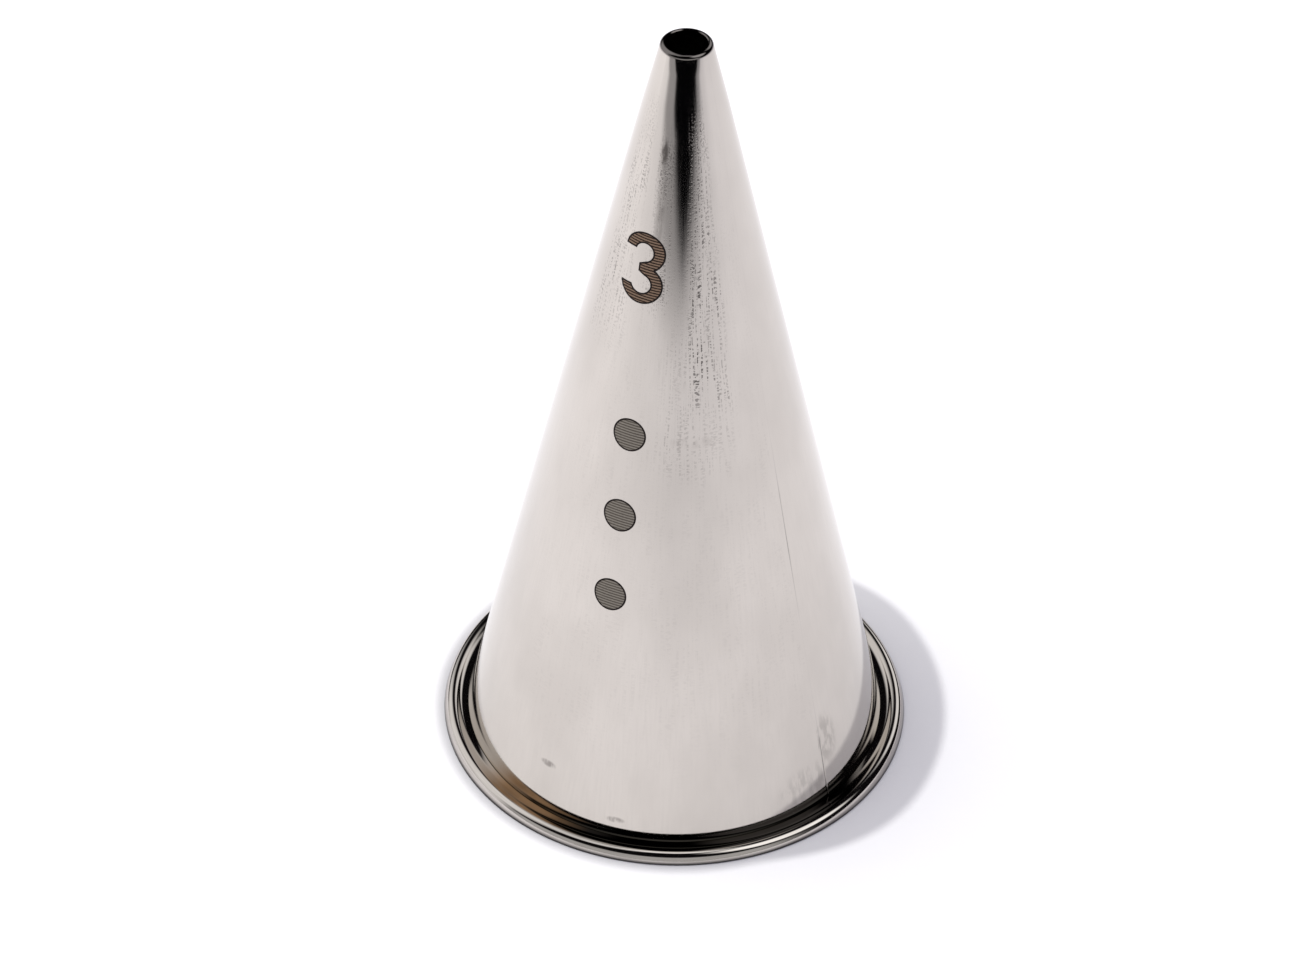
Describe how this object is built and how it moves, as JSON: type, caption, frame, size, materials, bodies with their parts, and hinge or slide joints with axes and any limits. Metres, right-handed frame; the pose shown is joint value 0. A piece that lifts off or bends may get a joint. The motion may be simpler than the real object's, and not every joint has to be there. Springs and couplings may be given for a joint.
{
  "type": "piping nozzle",
  "caption": "Plain round piping nozzle: a tall hollow sheet-metal cone with a small round outlet and a narrow rolled rim round its foot.",
  "frame": {"origin": "centre of the foot, on the surface that the nozzle stands on", "axes": "+Z along the cone towards the outlet; -Y is the side with the size mark, and the seam lies 47.5 degrees from it towards +X"},
  "size_m": [0.0358, 0.0358, 0.0625],
  "materials": {
    "satin_steel": "fine satin stainless steel, brushed along the cone",
    "ground_weld": "weld ground flush with the satin sheet",
    "bright_steel": "bright drawn stainless steel, faint heat tint beside the cone",
    "raw_weld": "weld metal left as laid, slightly heat tinted"
  },
  "bodies": {
    "root": {"cone_wall": "satin_steel", "seam_weld": "ground_weld", "rim_ring": "bright_steel", "rim_weld": "raw_weld"}
  },
  "joints": []
}
